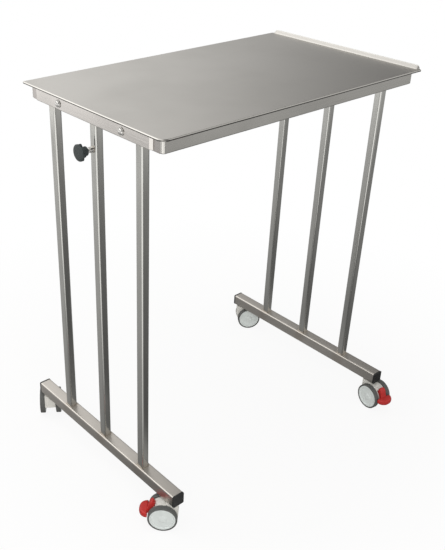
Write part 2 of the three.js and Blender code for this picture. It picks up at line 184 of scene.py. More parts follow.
def loft(name, loops, place=Matrix(), ring=False):
    shape = bmesh.new()
    rows = [[shape.verts.new(place @ (Vector(point) * mm)) for point in loop] for loop in loops]
    pairs = list(zip(rows, rows[1:])) + ([(rows[-1], rows[0])] if ring else [])
    for low, high in pairs:
        for i in range(len(low)):
            j = (i + 1) % len(low)
            shape.faces.new((low[i], low[j], high[j], high[i]))
    if not ring:
        shape.faces.new(rows[0][::-1])
        shape.faces.new(rows[-1])
    return asObject(name, shape)


def turned(name, profile, place, sides=64, ring=False):  # profile of (radius, along) about the local Z
    angles = [2 * math.pi * i / sides for i in range(sides)]
    loops = [[(radius * math.cos(a), radius * math.sin(a), along) for a in angles] for radius, along in profile]
    return loft(name, loops, place, ring)


def softenedCopy(node, name, edge, sharpest=32):  # a node's own shape with its edges rounded off
    shape = bmesh.new()
    shape.from_mesh(frame["nodes"][node].data)
    bmesh.ops.remove_doubles(shape, verts=shape.verts, dist=1e-6)
    bmesh.ops.dissolve_limit(shape, angle_limit=math.radians(1), verts=shape.verts, edges=shape.edges)
    piece = asObject(name, shape)
    soft = piece.modifiers.new("softEdges", "BEVEL")
    soft.width, soft.segments = edge * mm, 3
    soft.limit_method, soft.angle_limit = "ANGLE", math.radians(sharpest)
    return settle(piece)


def joined(name, pieces):  # several shells as one piece
    shape = bmesh.new()
    for piece in pieces:
        shape.from_mesh(piece.data)
        bpy.data.objects.remove(piece)
    mesh = bpy.data.meshes.new(name)
    shape.to_mesh(mesh)
    shape.free()
    whole = bpy.data.objects.new(name, mesh)
    bpy.context.scene.collection.objects.link(whole)
    return whole


def place(piece, material, body, slot, *nodes):
    piece.data.materials.clear()
    piece.data.materials.append(material)
    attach(piece, body)
    if nodes:
        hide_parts(*nodes)


def camel(name):
    first, *others = name.split("_")
    return first + "".join(word.title() for word in others)


def middleOf(node):
    low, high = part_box(node)
    return (low + high) / 2


# Steel: fine brush lines along one axis, cloudy patches, and a brown bloom beside the welds; the top sheet also gets
# painted shade just under its folded edge
def brushedSteel(name, look):
    material = bpy.data.materials.new(name)
    material.use_nodes = True
    tree = material.node_tree
    tree.nodes.clear()
    coords = newNode(tree, "ShaderNodeTexCoord").outputs["Object"]
    stretched = newNode(tree, "ShaderNodeMapping", {"Vector": coords, "Scale": look["grain"]}).outputs[0]
    grain = newNode(tree, "ShaderNodeTexNoise", {"Vector": stretched, "Scale": 1.0, "Detail": 4.0, "Roughness": 0.6})
    cloud = newNode(tree, "ShaderNodeTexNoise", {"Vector": coords, "Scale": look["cloud"], "Detail": 3.0})
    grain, cloud = grain.outputs[0], cloud.outputs[0]
    base = Vector(look["colour"])
    dark, light = (*(base * (1 - look["streak"])), 1), (*(base * (1 + look["streak"])), 1)
    colour = blendColours(tree, spread(tree, grain, 0.3, 0.7, 0, 1), dark, light)
    smudge = (*(base * 0.86), 1)
    colour = blendColours(tree, spread(tree, cloud, 0.45, 0.75, 0, look["smudge"]), colour, smudge)
    for weld in look.get("welds", []):
        parts = newNode(tree, "ShaderNodeSeparateXYZ", {0: coords})
        away = maths(tree, "SUBTRACT", parts.outputs[weld["axis"]], weld["at"])
        if "spacing" in weld:
            away = maths(tree, "PINGPONG", away, weld["spacing"] / 2)
        away = maths(tree, "ABSOLUTE", away)
        heat = spread(tree, away, weld["near"], weld["near"] + weld["reach"], weld["strength"], 0.0)
        heat = maths(tree, "MULTIPLY", heat, spread(tree, cloud, 0.3, 0.6, 0.35, 1.0))
        colour = blendColours(tree, heat, colour, (*weld["colour"], 1))
    rough = spread(tree, grain, 0.3, 0.7, *look["rough"])
    rough = maths(tree, "ADD", rough, spread(tree, cloud, 0.35, 0.7, -0.02, 0.04))
    if "edge" in look:  # the folded edge is smoother than the sheet, and painted shade darkens a band just under its top
        edge = look["edge"]
        tall = newNode(tree, "ShaderNodeSeparateXYZ", {0: coords}).outputs[2]
        top, (low, high) = edge["top"], edge["under"]
        rough = maths(tree, "MULTIPLY", rough, spread(tree, tall, top, top + edge["fade"], edge["smooth"], 1.0))
        # painted shade: the band just under the sheet's top edge is blended towards a dark tone
        under = spread(tree, tall, top - low, top - high, edge["shade"], 0.0)
        colour = blendColours(tree, under, colour, (*(base * edge["dark"]), 1))
    values = {"Height": grain, "Strength": look["bump"], "Distance": 0.0002}
    bump = newNode(tree, "ShaderNodeBump", values).outputs[0]
    skin = newNode(tree, "ShaderNodeBsdfPrincipled",
                   {"Base Color": colour, "Metallic": 1.0, "Roughness": rough, "Normal": bump})
    newNode(tree, "ShaderNodeOutputMaterial", {"Surface": skin.outputs[0]})
    return material


# Plastic and rubber: moulded grain, slow changes of tone, and scuffs that catch the light
def moulded(name, look):
    material = bpy.data.materials.new(name)
    material.use_nodes = True
    tree = material.node_tree
    tree.nodes.clear()
    coords = newNode(tree, "ShaderNodeTexCoord").outputs["Object"]
    grain = newNode(tree, "ShaderNodeTexNoise", {"Vector": coords, "Scale": look["grain"], "Detail": 3.0}).outputs[0]
    tone = newNode(tree, "ShaderNodeTexNoise", {"Vector": coords, "Scale": look["patch"], "Detail": 3.0}).outputs[0]
    values = {"Vector": coords, "Scale": look["patch"] * 5, "Detail": 6.0, "Roughness": 0.7, "Distortion": 1.5}
    scuff = newNode(tree, "ShaderNodeTexNoise", values).outputs[0]
    base = Vector(look["colour"])
    colour = blendColours(tree, spread(tree, tone, 0.35, 0.65, 0, 1), (*base, 1), (*(base * look["shade"]), 1))
    worn = spread(tree, scuff, 0.6, 0.75, 0, look["scuff"])
    colour = blendColours(tree, worn, colour, (*look["scuffColour"], 1))
    rough = maths(tree, "ADD", spread(tree, tone, 0.3, 0.7, *look["rough"]), maths(tree, "MULTIPLY", worn, 0.3))
    values = {"Height": grain, "Strength": look["bump"], "Distance": 0.0003}
    bump = newNode(tree, "ShaderNodeBump", values).outputs[0]
    skin = newNode(tree, "ShaderNodeBsdfPrincipled",
                   {"Base Color": colour, "Roughness": rough, "Normal": bump, "IOR": look["ior"]})
    newNode(tree, "ShaderNodeOutputMaterial", {"Surface": skin.outputs[0]})
    return material


# Places and distances of the bloom and of the sheet's edge and its painted shade are in metres
weldBrown = (0.34, 0.25, 0.17)
barTop = leftBar[1].z
postY = middleOf("left_middle_post").y
postFoot = {"axis": 2, "at": barTop, "near": 0.001, "reach": 0.018, "strength": 0.28, "colour": weldBrown}
postHead = dict(postFoot, at=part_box("left_middle_post")[1].z)
besidePosts = {"axis": 1, "at": postY, "spacing": 0.142, "near": 0.009, "reach": 0.014, "strength": 0.2,
               "colour": weldBrown}
steel = {"colour": (0.60, 0.592, 0.572), "streak": 0.10, "cloud": 11.0, "smudge": 0.4, "rough": (0.20, 0.32),
         "bump": 0.10}
# painted shade: a dark band just under the top sheet's edge, standing in for the shade beneath the overhang
sheetEdgeAndPaintedShade = {"top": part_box("left_top_bar")[1].z + 0.001, "fade": 0.0004, "smooth": 0.45, "under": (0.0013, 0.0008),
             "shade": 0.75, "dark": 0.2}
topSheet = brushedSteel("topSheet", dict(steel, colour=(0.575, 0.56, 0.53), grain=(60, 700, 700), cloud=5.0,
                                         streak=0.03, rough=(0.30, 0.36), bump=0.04, edge=sheetEdgeAndPaintedShade))
postSteel = brushedSteel("postSteel", dict(steel, colour=(0.60, 0.60, 0.575), grain=(1500, 1500, 14),
                                           rough=(0.14, 0.24), welds=[postFoot, postHead]))
barSteel = brushedSteel("barSteel", dict(steel, colour=(0.61, 0.58, 0.54), grain=(1500, 14, 1500),
                                         rough=(0.28, 0.40), welds=[besidePosts]))
railSteel = brushedSteel("railSteel", dict(steel, grain=(1500, 14, 1500), colour=(0.64, 0.615, 0.59)))
apronSteel = brushedSteel("apronSteel", dict(steel, grain=(14, 1500, 1500), colour=(0.61, 0.60, 0.57)))
# painted shade: a darker copy of the apron steel, for the shade the side aprons lie in behind the rails
sideSteelPaintedShade = brushedSteel("sideSteelPaintedShade", dict(steel, grain=(1500, 14, 1500), colour=(0.46, 0.435, 0.42)))
turnedSteel = brushedSteel("turnedSteel", dict(steel, grain=(500, 900, 900), colour=(0.68, 0.67, 0.65),
                                               rough=(0.10, 0.20)))
weldSteel = brushedSteel("weldSteel", dict(steel, grain=(300, 300, 300), colour=(0.54, 0.49, 0.43), cloud=60.0,
                                           streak=0.2, rough=(0.3, 0.5), bump=0.3))
plastic = {"grain": 2600.0, "patch": 22.0, "shade": 0.9, "scuff": 0.12, "scuffColour": (0.7, 0.7, 0.68),
           "rough": (0.36, 0.48), "bump": 0.06, "ior": 1.46}
capPlastic = moulded("capPlastic", dict(plastic, colour=(0.018, 0.018, 0.018), scuff=0.05, rough=(0.38, 0.5)))
knobPlastic = moulded("knobPlastic", dict(plastic, colour=(0.038, 0.047, 0.047), scuff=0.06, bump=0.2,
                                          rough=(0.42, 0.55)))
hoodPlastic = moulded("hoodPlastic", dict(plastic, colour=(0.73, 0.715, 0.665), shade=0.94))
discPlastic = moulded("discPlastic", dict(plastic, colour=(0.71, 0.75, 0.73), shade=0.95, scuff=0.08))
tyreRubber = moulded("tyreRubber", dict(plastic, colour=(0.108, 0.110, 0.105), grain=1400.0, bump=0.3,
                                        rough=(0.62, 0.8), scuff=0.25, scuffColour=(0.22, 0.22, 0.21)))
pedalPlastic = moulded("pedalPlastic", dict(plastic, colour=(0.50, 0.026, 0.023), rough=(0.3, 0.42), scuff=0.05))
padNylon = moulded("padNylon", dict(plastic, colour=(0.78, 0.75, 0.66)))
print("finishes made:", len(bpy.data.materials))


# Table top, its aprons and the stiffening channel
topLook = {
    "length": 752.0, "width": 450.0, "corner": 12.0, "sharpCorner": 4.0, "frontCorner": 18.0, "sheet": 1.5,
    # inset and height: a narrow slope at the edge, then folded under at a slant
    "edge": [(9.0, 1.5), (3.75, 1.5), (1.9, 1.5), (1.5, 1.38), (0.15, 0.1), (0.0, -0.2), (0.2, -0.6)],
    "fold": [(1.3, -3.0), (1.8, -3.2), (8.8, -3.2), (9.0, -3.0), (9.0, 0.0)],
    "ease": 0.9, "lip": 7.6, "lipSlope": 9.0, "lipGap": 6.5, "lipEnd": (3, 12, 25, 40, 55, 72, 90), "sunk": 0.6,
    "channelEdge": 0.4}


def topOutline(inset, ease):  # ease: how much less the corners are set in
    x, y = topLook["length"] / 2 - inset, topLook["width"] / 2 - inset
    outline = []
    for sideX, sideY, start in ((1, 1, 0), (-1, 1, 90), (-1, -1, 180), (1, -1, 270)):
        corner = topLook["sharpCorner"] if sideX != sideY else topLook["corner" if sideX > 0 else "frontCorner"]
        radius = max(corner - inset, 0.4)
        for step in range(9):
            angle = math.radians(start + 90 * step / 8)
            reach = radius + ease * math.sin(math.pi * step / 8)
            outline.append((sideX * (x - radius) + reach * math.cos(angle),
                            sideY * (y - radius) + reach * math.sin(angle)))
    return outline


def topPlate(stand):  # local zero is the underside of the sheet
    sheet, loops = topLook["sheet"], []
    for inset, z in topLook["edge"] + topLook["fold"]:
        ease = topLook["ease"] if (inset, z) == topLook["fold"][0] else 0
        loops.append([(x, y, z) for x, y in topOutline(inset, ease)])
    sheetPiece = loft("sheet", loops, stand)
    outer, inner = topLook["length"] / 2, topLook["length"] / 2 - sheet
    start, high, end = outer - topLook["lipSlope"], topLook["lip"], topLook["width"] / 2 - topLook["lipGap"]
    half, crown = sheet / 2, [math.pi * i / 8 for i in range(9)]
    section = [(start, 0.0), (outer, 0.0)]
    section += [(outer - half + half * math.cos(a), high - half + half * math.sin(a)) for a in crown]
    section += [(inner + (start - inner) * t, (high - half) * (1 - t)) for t in (0.05, 0.3, 0.6, 0.9, 1.0)]
    turns = [math.radians(degrees) for degrees in topLook["lipEnd"]]  # the lip's ends are rounded down to the sheet
    spots = [(end - high * (1 - math.cos(a)), math.sin(a)) for a in turns]
    spots = [(-y, tall) for y, tall in spots] + spots[::-1]
    loops = [[(x, y, sheet + (z * tall if z > 0 else -topLook["sunk"])) for x, z in section] for y, tall in spots]
    lip = loft("lip", loops, stand)
    return shade(joined("topPlate", [sheetPiece, lip]), 50)


plateLow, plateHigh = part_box("top_plate")
topMiddle = (plateLow + plateHigh) / 2
topMiddle.z = plateLow.z + topLook["sheet"] * mm
place(topPlate(Matrix.Translation(topMiddle)), topSheet, "frame", "top_sheet", "top_plate")


# Aprons: sheet swept along an outline of (x, y, outward x, outward y); the long ones turn the corners and fold under
apronLook = {"corner": 8.0, "seam": 0.25, "sheet": 1.5, "bend": 2.4, "return": 10.0}


def apronSection(tall, folded):  # inwards from the face, and up
    sheet, bend = apronLook["sheet"], apronLook["bend"]
    if not folded:
        return softCorners([(0, 0, 0.7), (sheet, 0, 0.7), (sheet, tall, 0), (0, tall, 0)], 4, True)
    inner, back = bend - sheet, apronLook["return"]
    arc = [math.radians(15 * i) for i in range(7)]
    section = [(0, tall)] + [(bend - bend * math.cos(a), bend - bend * math.sin(a)) for a in arc]
    section += [(back, 0), (back, sheet)]
    return section + [(bend - inner * math.cos(a), bend - inner * math.sin(a)) for a in arc[::-1]] + [(sheet, tall)]


def apronPiece(node):
    low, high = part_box(node)
    x, y, radius = (high.x - low.x) / mm / 2, (high.y - low.y) / mm / 2, apronLook["corner"]
    folded = "front" in node or "rear" in node
    if folded:
        arc = [math.radians(90 * i / 10) for i in range(11)]
        half = [(x - radius + radius * math.sin(a), -radius * math.cos(a), math.sin(a), -math.cos(a)) for a in arc]
        half = [(px, py + radius, ox, oy) for px, py, ox, oy in half]
        path = [(-px, py, -ox, oy) for px, py, ox, oy in half[::-1]] + half
        start = Vector(((low.x + high.x) / 2, low.y, low.z))
        turn = Matrix()
        if "rear" in node:
            start.y, turn = high.y, Matrix.Rotation(math.pi, 4, "Z")
    else:
        front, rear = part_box("front_apron")[0].y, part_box("rear_apron")[1].y
        half = (rear - front) / mm / 2 - radius - apronLook["seam"]
        path = [(0, half, -1, 0), (0, -half, -1, 0)]
        start = Vector((low.x if "left" in node else high.x, (front + rear) / 2, low.z))
        turn = Matrix() if "left" in node else Matrix.Rotation(math.pi, 4, "Z")
    section = apronSection((high.z - low.z) / mm, folded)
    loops = [[(px - ox * deep, py - oy * deep, up) for deep, up in section] for px, py, ox, oy in path]
    return shade(loft(camel(node), loops, Matrix.Translation(start) @ turn), 50)


for node in ("front_apron", "rear_apron", "left_apron", "right_apron"):
    # the side aprons take the darker copy of the steel, which is painted shade
    finish = sideSteelPaintedShade if "left" in node or "right" in node else apronSteel
    place(apronPiece(node), finish, "frame", "frame_steel", node)
channel = shade(softenedCopy("top_stiffener", "topStiffener", topLook["channelEdge"]))
place(channel, apronSteel, "frame", "frame_steel", "top_stiffener")
print("table top done")


# Square tubes of the leg frames
tubeLook = {"wall": 1.5, "bow": 0.22, "postCorner": 4.8, "barCorner": 4.0}
alongY = Matrix.Rotation(-math.pi / 2, 4, "X")  # local Z turned to +Y


def squareTube(node, name, corner, upright):
    low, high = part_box(node)
    size = (high - low) / mm
    start = (low + high) / 2
    if upright:
        width, height, length = size.x, size.y, size.z
        start.z = low.z
        stand = Matrix.Translation(start)
    else:
        width, height, length = size.x, size.z, size.y
        start.y = low.y
        stand = Matrix.Translation(start) @ alongY
    wall = 2 * tubeLook["wall"]
    outside = bowedSquare(width, height, corner, tubeLook["bow"])
    inside = bowedSquare(width - wall, height - wall, corner - tubeLook["wall"], tubeLook["bow"])
    loops = [[(p.x, p.y, z) for p in outline] for outline, z in
             [(outside, 0), (outside, length), (inside, length), (inside, 0)]]
    return shade(loft(name, loops, stand, ring=True), 50)


for side in ("left", "right"):
    for spot in ("front", "middle", "rear"):
        node = f"{side}_{spot}_post"
        tube = squareTube(node, f"{side}{spot.title()}Post", tubeLook["postCorner"], True)
        place(tube, postSteel, "frame", "frame_steel", node)
    for bar, corner in (("foot", tubeLook["barCorner"]), ("top", tubeLook["postCorner"])):
        node = f"{side}_{bar}_bar"
        tube = squareTube(node, f"{side}{bar.title()}Bar", corner, False)
        place(tube, barSteel, "frame", "frame_steel", node)
print("leg frames done")


# Weld beads: ripples strung along the joint lines by a node tree
weldLook = {"spacing": 1.3, "radius": 0.95, "lift": 0.1, "stretch": (1.35, 1.0, 0.9), "round": 20.4, "corner": 2.8,
            "bossReach": 6.1, "bossSteps": 24}


def groupTree(name, sockets):
    tree = bpy.data.node_groups.new(name, "GeometryNodeTree")
    tree.interface.new_socket("Geometry", in_out="OUTPUT", socket_type="NodeSocketGeometry")
    tree.interface.new_socket("Geometry", in_out="INPUT", socket_type="NodeSocketGeometry")
    keys = {}
    for label, kind in sockets:
        keys[label] = tree.interface.new_socket(label, in_out="INPUT", socket_type=kind).identifier
    return tree, keys


def weldTree():
    tree, keys = groupTree("weldBeads", [("Spacing", "NodeSocketFloat"), ("Bead Radius", "NodeSocketFloat")])
    given = newNode(tree, "NodeGroupInput")
    line = newNode(tree, "GeometryNodeMeshToCurve", {0: given.outputs["Geometry"]})
    spots = newNode(tree, "GeometryNodeResampleCurve", {"Curve": line.outputs[0], "Length": given.outputs["Spacing"]},
                    mode="LENGTH")
    drop = newNode(tree, "GeometryNodeMeshUVSphere",
                   {"Segments": 10, "Rings": 6, "Radius": given.outputs["Bead Radius"]})
    tangent = newNode(tree, "GeometryNodeInputTangent")
    lie = newNode(tree, "FunctionNodeAlignRotationToVector", {"Vector": tangent.outputs[0]}, axis="X")
    beads = newNode(tree, "GeometryNodeInstanceOnPoints",
                    {"Points": spots.outputs[0], "Instance": drop.outputs[0], "Rotation": lie.outputs[0],
                     "Scale": weldLook["stretch"]})
    whole = newNode(tree, "GeometryNodeRealizeInstances", {0: beads.outputs[0]})
    finish = newNode(tree, "GeometryNodeSetMaterial", {"Geometry": whole.outputs[0], "Material": weldSteel})
    newNode(tree, "NodeGroupOutput", {0: finish.outputs[0]})
    return tree, keys


def weldLines():
    shape = bmesh.new()
    outline = roundedSquare(weldLook["round"], weldLook["round"], weldLook["corner"], 4)
    lines = []
    for side in ("left", "right"):
        for spot in ("front", "middle", "rear"):
            low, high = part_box(f"{side}_{spot}_post")
            centre = (low + high) / 2
            for z, lift in ((low.z, weldLook["lift"]), (high.z, -weldLook["lift"])):
                lines.append([(centre.x + p.x * mm, centre.y + p.y * mm, z + lift * mm) for p in outline])
    boss, reach = middleOf("clamp_boss"), weldLook["bossReach"] * mm
    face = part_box("clamp_boss")[1].x
    count = weldLook["bossSteps"]
    steps = [2 * math.pi * i / count for i in range(count)]
    lines.append([(face, boss.y + reach * math.cos(a), boss.z + reach * math.sin(a)) for a in steps])
    for line in lines:
        dots = [shape.verts.new(point) for point in line]
        for i, dot in enumerate(dots):
            shape.edges.new((dot, dots[(i + 1) % len(dots)]))
    return asObject("weldBeads", shape)


def runTree(piece, tree, values):
    made = piece.modifiers.new(tree.name, "NODES")
    made.node_group = tree
    for key, value in values.items():
        made[key] = value
    return settle(piece)


beadTree, beadKeys = weldTree()
welds = runTree(weldLines(), beadTree, {beadKeys["Spacing"]: weldLook["spacing"] * mm,
                                        beadKeys["Bead Radius"]: weldLook["radius"] * mm})
welds.data.shade_smooth()
place(welds, weldSteel, "frame", "frame_steel")
print("welds done:", len(welds.data.polygons), "faces")


# Side rails, and their dome-headed screws set out by a node tree
railLook = {"edge": 2.0, "washer": 8.25, "washerThickness": 1.4, "dome": 6.6, "domeHeight": 3.8, "shank": 3.0,
            "shankDepth": 10.0, "gap": 0.25}
railEnd = [(5.2, 0.0), (4.8, 0.15), (0.5, 4.95), (0.15, 5.5), (0.0, 6.5)]  # off the face, along
for side in ("left", "right"):
    low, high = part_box(f"{side}_side_rail")
    deep, long, tall = (high - low) / mm
    stand = Matrix.Translation(((low.x + high.x) / 2, low.y, (low.z + high.z) / 2)) @ alongY
    steps = railEnd + [(less, long - along) for less, along in railEnd[::-1]]
    inward = 0.5 if side == "left" else -0.5
    loops = []
    for less, along in steps:
        section = roundedSquare(deep - less, tall - 0.2 * less, railLook["edge"])
        loops.append([(p.x + inward * less, p.y, along) for p in section])
    place(shade(loft(f"{side}SideRail", loops, stand), 60), railSteel, "frame", "frame_steel", f"{side}_side_rail")


def screwHead():
    washer, dome = railLook["washer"], railLook["dome"]
    top = railLook["washerThickness"]
    crown = [(dome * math.cos(a), top + railLook["domeHeight"] * math.sin(a))
             for a in [math.pi / 2 * i / 10 for i in range(11)]]
    rim = softCorners([(railLook["shank"], 0, 0), (washer, 0, 0.3), (washer, top, 0.6), (dome + 0.6, top, 0.3),
                       (dome + 0.5, top - 0.4, 0.1), (dome, top - 0.4, 0)], 4)
    shank = [(0, -railLook["shankDepth"]), (railLook["shank"], -railLook["shankDepth"])]
    return turned("screwHead", shank + [tuple(p) for p in rim] + crown, Matrix(), 40)


def screwTree():
    tree, keys = groupTree("railScrews", [("Screw", "NodeSocketObject"), ("Size", "NodeSocketFloat")])
    given = newNode(tree, "NodeGroupInput")
    head = newNode(tree, "GeometryNodeObjectInfo", {"Object": given.outputs["Screw"]})
    facing = newNode(tree, "GeometryNodeInputNamedAttribute", {"Name": "facing"}, data_type="FLOAT_VECTOR")
    aim = newNode(tree, "FunctionNodeAlignRotationToVector", {"Vector": facing.outputs[0]}, axis="Z")
    heads = newNode(tree, "GeometryNodeInstanceOnPoints",
                    {"Points": given.outputs["Geometry"], "Instance": head.outputs["Geometry"],
                     "Rotation": aim.outputs[0], "Scale": given.outputs["Size"]})
    whole = newNode(tree, "GeometryNodeRealizeInstances", {0: heads.outputs[0]})
    finish = newNode(tree, "GeometryNodeSetMaterial", {"Geometry": whole.outputs[0], "Material": turnedSteel})
    newNode(tree, "NodeGroupOutput", {0: finish.outputs[0]})
    return tree, keys


screwNodes = [f"{spot}_{side}_rail_screw" for spot in ("front", "rear") for side in ("left", "right")]
spots = bmesh.new()
facings = []
for node in screwNodes:
    side = -1 if "left" in node else 1
    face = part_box("left_side_rail")[0].x if side < 0 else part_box("right_side_rail")[1].x
    spots.verts.new((face + side * railLook["gap"] * mm, middleOf(node).y, middleOf(node).z))
    facings += [side, 0.0, 0.0]
mesh = bpy.data.meshes.new("railScrews")
spots.to_mesh(mesh)
spots.free()
mesh.attributes.new("facing", "FLOAT_VECTOR", "POINT").data.foreach_set("vector", facings)
screws = bpy.data.objects.new("railScrews", mesh)
bpy.context.scene.collection.objects.link(screws)
head = shade(screwHead())
headTree, headKeys = screwTree()
runTree(screws, headTree, {headKeys["Screw"]: head, headKeys["Size"]: 1.0})
bpy.data.objects.remove(head)
place(screws, turnedSteel, "frame", "bright_steel", *screwNodes)
print("rails and screws done")


# End caps of the foot bars: a plug, a soft-edged head and a shallow recess, as (size, corner, along)
capLook = {"plug": [(26.0, 1.5, -10.5), (26.5, 1.5, -9.6), (26.5, 1.5, 0.3)],
           "head": [(29.5, 3.0, 0.3), (30.1, 3.3, 0.6), (30.2, 3.4, 3.8), (29.8, 3.3, 4.5), (28.9, 3.0, 4.85)],
           "recess": [(25.2, 2.6, 4.85), (24.6, 2.4, 4.6), (24.2, 2.2, 4.3)]}
capRings = capLook["plug"] + capLook["head"] + capLook["recess"]
for spot, end in (("front", -1), ("rear", 1)):
    for side, bar in (("left", leftBar), ("right", rightBar)):
        centre = (bar[0] + bar[1]) / 2
        centre.y = bar[0].y if end < 0 else bar[1].y
        stand = Matrix.Translation(centre) @ Matrix.Rotation(-end * math.pi / 2, 4, "X")
        loops = [[(p.x, p.y, along) for p in roundedSquare(size, size, corner)] for size, corner, along in capRings]
        cap = shade(loft(f"{spot}{side.title()}EndCap", loops, stand), 50)
        place(cap, capPlastic, "frame", "cap_plastic", f"{spot}_{side}_end_cap")
print("end caps done")


# Clamp screw: welded boss, threaded stud and a seven-lobed knob, built along local Z from the post's face
clampLook = {
    "bossRadius": 6.0, "bossLength": 8.0, "bossRound": 2.4, "bore": 4.4, "gap": 0.25, "studRadius": 4.0, "pitch": 1.25,
    "thread": 0.55, "studTip": -5.5, "dog": (2.0, 2.6), "studEnd": 27.25, "knobBack": 15.25, "knobRadius": 17.25,
    "lobes": 7, "lobeDepth": 4.0,
    # radius and height of the neck, then inset, height and share of the flutes' depth up to the domed front
    "neck": [(8.0, 0), (9.0, 0.3), (9.5, 1.1), (9.5, 8.9), (9.9, 9.9), (10.6, 10.5)],
    "grip": [(3.0, 10.5, 0.8), (1.6, 10.7, 1), (0.6, 11.3, 1), (0.1, 12.2, 1), (0, 13.2, 1), (0, 14.6, 0.98),
             (0, 15.8, 0.78), (0, 16.8, 0.42), (0.05, 17.7, 0.12), (0.3, 18.5, 0), (0.9, 19.2, 0), (2.2, 19.9, 0),
             (4.6, 20.5, 0), (8.0, 20.9, 0), (12.5, 21.0, 0), (17.25, 21.0, 0)]}
clampMiddle = middleOf("clamp_boss")
clampPlace = Matrix.Translation((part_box("left_middle_post")[0].x, clampMiddle.y, clampMiddle.z))
clampPlace = clampPlace @ Matrix.Rotation(-math.pi / 2, 4, "Y")
bore, bossRadius = clampLook["bore"], clampLook["bossRadius"]
bossStart, bossEnd = clampLook["gap"], clampLook["gap"] + clampLook["bossLength"]
ringProfile = softCorners([(bore, bossStart, 0.2), (bossRadius, bossStart, 0.2),
                           (bossRadius, bossEnd, clampLook["bossRound"]), (bore, bossEnd, 0.4)], 4, True)
boss = shade(turned("clampBoss", [tuple(p) for p in ringProfile], clampPlace, 48, ring=True))
place(boss, turnedSteel, "frame", "frame_steel", "clamp_boss")


def threadedStud():
    look, sides, steps = clampLook, 32, 8
    radius, dogRadius, tip = look["studRadius"], look["dog"][0], look["studTip"]
    angles = [2 * math.pi * i / sides for i in range(sides)]
    dog = [(dogRadius * math.cos(a), dogRadius * math.sin(a)) for a in angles]
    loops = [[(x, y, z) for x, y in dog] for z in (tip - look["dog"][1], tip)]
    rings = int((look["studEnd"] - tip) / look["pitch"] * steps)
    for i in range(rings + 1):
        z = tip + i * look["pitch"] / steps
        fade = min(1, i / steps, (rings - i) / steps)  # the thread runs out at both ends
        loop = []
        for a in angles:
            wave = abs((z / look["pitch"] - a / (2 * math.pi)) % 1 * 2 - 1)
            r = radius - look["thread"] * (wave * fade + (1 - fade))
            loop.append((r * math.cos(a), r * math.sin(a), z))
        loops.append(loop)
    return shade(loft("clampStud", loops, clampPlace), 60)


place(threadedStud(), turnedSteel, "clamp_screw", "bright_steel", "clamp_stud")


def starKnob():
    look = clampLook
    steps, back = look["lobes"] * 18, look["knobBack"]
    angles = [2 * math.pi * i / steps for i in range(steps)]
    outer, depth = look["knobRadius"], look["lobeDepth"]
    loops = []
    for radius, z in look["neck"]:
        loops.append([(radius * math.cos(a), radius * math.sin(a), back + z) for a in angles])
    for inset, z, share in look["grip"]:
        radii = [outer - inset - depth * share * (1 - math.cos(look["lobes"] * a)) / 2 for a in angles]
        loops.append([(r * math.cos(a), r * math.sin(a), back + z) for r, a in zip(radii, angles)])
    return shade(loft("clampKnob", loops, clampPlace), 45)


place(starKnob(), knobPlastic, "clamp_screw", "knob_plastic", "clamp_knob")
print("clamp screw done")


# Castors: turned wheels, moulded hood, stem, and the red pedal of the braked ones
wheelLook = {"radius": 33.5, "width": 12.5, "tyre": 3.6, "inside": 14.0, "seam": 0.25, "bore": 4.25, "skin": 3.5,
             "shoulder": 3.2, "hoodEdge": 1.4,
             # radius or distance in from the rim, depth below the face, rounding
             "dome": [(0, 0.05, 0), (7.0, 0.4, 3.2), (10.0, 2.5, 1.6), (14.0, 2.7, 1.5)],
             "brim": [(5.0, 2.7, 1.2), (3.2, 0.1, 0.7), (0.9, 0, 0.5), (0, 0.9, 0.4)]}
stemLook = {"radius": 5.0, "collar": 10.0, "foot": 46.0, "collarFrom": 68.3, "collarTo": 69.7, "top": 90.0}


def castorPlace(castor):
    joint = joints[castor + "_roll_a"]
    across = Vector(joint["axis"]).normalized()
    ahead = Vector((across.y, -across.x, 0))
    turn = Matrix((ahead, across, Vector((0, 0, 1)))).transposed().to_4x4()
    return Matrix.Translation(joint["pos_m"]) @ turn


def discProfile():
    look = wheelLook
    rim, width = look["radius"] - look["tyre"] - look["seam"], look["width"]
    blind = width - look["skin"]
    face = [(radius, width - depth, soft) for radius, depth, soft in look["dome"]]
    face += [(rim - less, width - depth, soft) for less, depth, soft in look["brim"]]
    return softCorners(face + [(rim, 0, 0.4), (look["bore"], 0, 0.3), (look["bore"], blind, 0), (0, blind, 0)], 5)


def tyreProfile():
    look = wheelLook
    inner, outer, width, soft = look["radius"] - look["tyre"], look["radius"], look["width"], look["shoulder"]
    return softCorners([(inner, 0, 0.3), (outer, 0, soft), (outer, width, soft), (inner, width, 0.3)], 7, True)


def wheelPlace(castor, letter):
    stand = castorPlace(castor)
    side = 1 if (stand.inverted() @ middleOf(f"{castor}_disc_{letter}")).y > 0 else -1
    outward = Matrix.Rotation(-side * math.pi / 2, 4, "X")
    return stand @ outward @ Matrix.Translation((0, 0, wheelLook["inside"] * mm))


